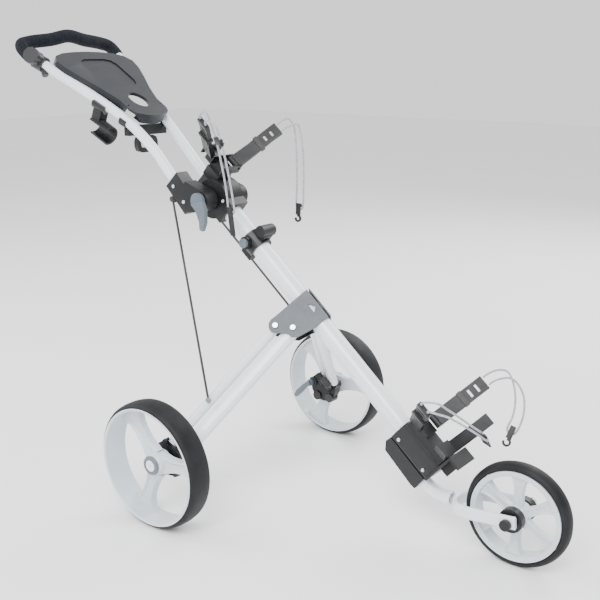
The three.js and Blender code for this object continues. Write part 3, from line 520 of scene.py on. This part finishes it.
def rear_wheel(name, side):
    body = f"rear_wheel_{name}"
    hub = middle(f"rear_tyre_{name}")
    tyre(f"tyre_{name}", f"rear_tyre_{name}", body, 0.135, 0.012)
    half = 0.031

    def build(bm):
        inner = 0.129
        profile = [(inner, -half + 0.002)] + arc(0.1335, -half + 0.0012, 0.0012, 180, 360, 5)
        profile += [(0.1347, -half + 0.004), (0.1317, -half + 0.0077), (0.1317, half - 0.0077)]
        profile += [(0.1347, half - 0.004)] + arc(0.1335, half - 0.0012, 0.0012, 0, 180, 5)
        profile += [(inner, half - 0.002)]
        lathe(bm, hub, profile, 112)
        boss = [(0.0082, side * 0.009), (0.020, side * 0.009), (0.0245, side * 0.005), (0.028, side * -0.004)]
        boss += [(0.026, side * -0.028), (0.022, side * -0.030), (0.0082, side * -0.030)]
        lathe(bm, hub, boss, 64)
        stations = [
            (0.020, 0.024, 0.0), (0.030, 0.0215, 0.5), (0.042, 0.0175, 1), (0.058, 0.0150, 1),
            (0.084, 0.0150, 1), (0.098, 0.0185, 1), (0.110, 0.0245, 0.7), (0.121, 0.0325, 0.3),
            (0.1295, 0.040, 0.0),
        ]
        for i in range(3):
            loft(bm, spoke_sections(hub, side, -37 + 120 * i, stations, -0.001, -0.019, 0.005))

    solid(f"rim_{name}", build, "rim_plastic", body, (f"rear_rim_{name}",), bevel=0.0012)

    def cap(bm):
        outer = side * 0.0160
        profile = [(0.0003, side * 0.0095), (0.0215, side * 0.0095), (0.0222, side * 0.0118)]
        profile += [(0.0205, outer * 0.94), (0.0150, outer), (0.0138, outer * 0.9), (0.0003, outer * 0.9)]
        lathe(bm, hub, profile, 64)

    solid(f"wheel_cap_{name}", cap, "grey_plastic", body, (f"hub_cap_{name}",))

    def disc(bm):
        face = side * 0.0160
        profile = [(0.0003, face * 0.89), (0.0132, face * 0.89), (0.0132, face * 0.96)]
        profile += [(0.0110, face), (0.0003, face)]
        lathe(bm, hub, profile, 48)

    solid(f"cap_centre_{name}", disc, "white_paint", body)


def front_wheel():
    hub = middle("front_tyre")
    tyre("tyre_front", "front_tyre", "front_wheel", 0.098, 0.010)
    half = 0.019

    def build(bm):
        inner = 0.0865
        profile = [(inner, -half + 0.002)] + arc(0.0966, -half + 0.0011, 0.0011, 180, 360, 5)
        profile += [(0.0977, -half + 0.004), (0.0947, -half + 0.0077), (0.0947, half - 0.0077)]
        profile += [(0.0977, half - 0.004)] + arc(0.0966, half - 0.0011, 0.0011, 0, 180, 5)
        profile += [(inner, half - 0.002)]
        lathe(bm, hub, profile, 96)
        boss = [(0.0056, 0.0198), (0.021, 0.0198), (0.024, 0.0165), (0.024, -0.0165)]
        boss += [(0.021, -0.0198), (0.0056, -0.0198)]
        lathe(bm, hub, boss, 56)
        stations = [
            (0.018, 0.0120, 0.0), (0.028, 0.0100, 0.6), (0.048, 0.0088, 1),
            (0.066, 0.0110, 1), (0.079, 0.0155, 0.5), (0.0875, 0.0205, 0.0),
        ]
        for i in range(6):
            loft(bm, spoke_sections(hub, -1, 60 * i, stations, 0.012, -0.004, 0.003))

    solid("rim_front", build, "rim_plastic", "front_wheel", ("front_rim",), bevel=0.001)


for wheel_name, wheel_side in SIDES.items():
    rear_wheel(wheel_name, wheel_side)
front_wheel()

# ---- screws -----------------------------------------------------------------


def screw(name, at, axis, radius, body):
    """A pan-head screw with a hex socket, standing off a face along axis."""
    axis = axis.normalized()
    side = axis.orthogonal().normalized()
    other = axis.cross(side)

    def ring(size, height, count=24):
        turns = [2 * math.pi * i / count for i in range(count)]
        return [at + axis * height + (side * math.cos(t) + other * math.sin(t)) * size for t in turns]

    def build(bm):
        heights = ((1, -0.3), (1, 0.22), (0.92, 0.42), (0.75, 0.55), (0.46, 0.60), (0.44, 0.25))
        loft(bm, [ring(radius * size, radius * height) for size, height in heights])

    return solid(name, build, "steel", body)


def screws():
    for name, side in SIDES.items():
        out = Vector((0, side, 0))
        for i, s in enumerate((0.604, 0.686)):
            screw(f"bracket_screw_{name}_{i + 1}", on_tube(s, side * 0.0246, -0.012), out, 0.0045, "frame")
        for i, (s, h) in enumerate(((-0.070, 0.022), (-0.128, -0.016))):
            screw(f"housing_screw_{name}_{i + 1}", on_tube(s, side * 0.0290, h), out, 0.0042, "frame")
        for i, a in enumerate((0.030, 0.076)):
            screw(f"clamp_screw_{name}_{i + 1}", on_handle(a, side * 0.070, -0.041), out, 0.0045, "handle")


screws()

# ---- carried-over CAD nodes -------------------------------------------------

BEVELS = {
    "hinge_housing": 0.0035, "console_tray": 0.0022, "tube_collar": 0.0015, "lower_bracket_body": 0.0022,
    "lower_bracket_cover": 0.003, "front_fork": 0.0018, "handle_clamp_right": 0.0022,
    "handle_clamp_left": 0.0022, "wheel_carrier_right": 0.002, "wheel_carrier_left": 0.002,
    "leg_bracket_plate_right": 0.0007, "leg_bracket_plate_left": 0.0007, "fold_lever": 0.0035,
}
PLAIN_BEVEL = 0.0008

for node_name, node in NODES.items():
    if node.hide_render:
        continue
    node.data.shade_smooth()
    soften(node, BEVELS.get(node_name, PLAIN_BEVEL), weld=True)
    node.data.materials.clear()
    node.data.materials.append(MATERIAL[SLOT_OF[node_name]])

# ---- floor and light --------------------------------------------------------


def studio():
    floor_mesh = bpy.data.meshes.new("floor")
    reach = 12.0
    corners = [(-reach, -reach, 0), (reach, -reach, 0), (reach, reach, 0), (-reach, reach, 0)]
    floor_mesh.from_pydata(corners, [], [(0, 1, 2, 3)])
    floor = bpy.data.objects.new("floor", floor_mesh)
    bpy.context.scene.collection.objects.link(floor)
    pale = Surface("floor", (0.93, 0.93, 0.93), 0.85).vary(2, 0.01).rough(5, 0.05)
    floor_mesh.materials.append(pale.material)
    world = bpy.data.worlds.new("studio")
    world.use_nodes = True
    world.node_tree.nodes["Background"].inputs["Color"].default_value = (1, 1, 1, 1)
    world.node_tree.nodes["Background"].inputs["Strength"].default_value = 1.25
    bpy.context.scene.world = world
    for name, at, size, power in (
        ("key", (1.2, -2.6, 3.0), 2.0, 190), ("fill", (-2.6, -1.4, 2.2), 2.4, 60),
        ("back", (0.2, 3.0, 2.6), 2.4, 110),
    ):
        light = bpy.data.objects.new(name, bpy.data.lights.new(name, "AREA"))
        light.data.size, light.data.energy = size, power
        light.location = at
        aim = Vector((0, 0, 0.45)) - light.location
        light.rotation_euler = aim.to_track_quat("-Z", "Y").to_euler()
        bpy.context.scene.collection.objects.link(light)


studio()
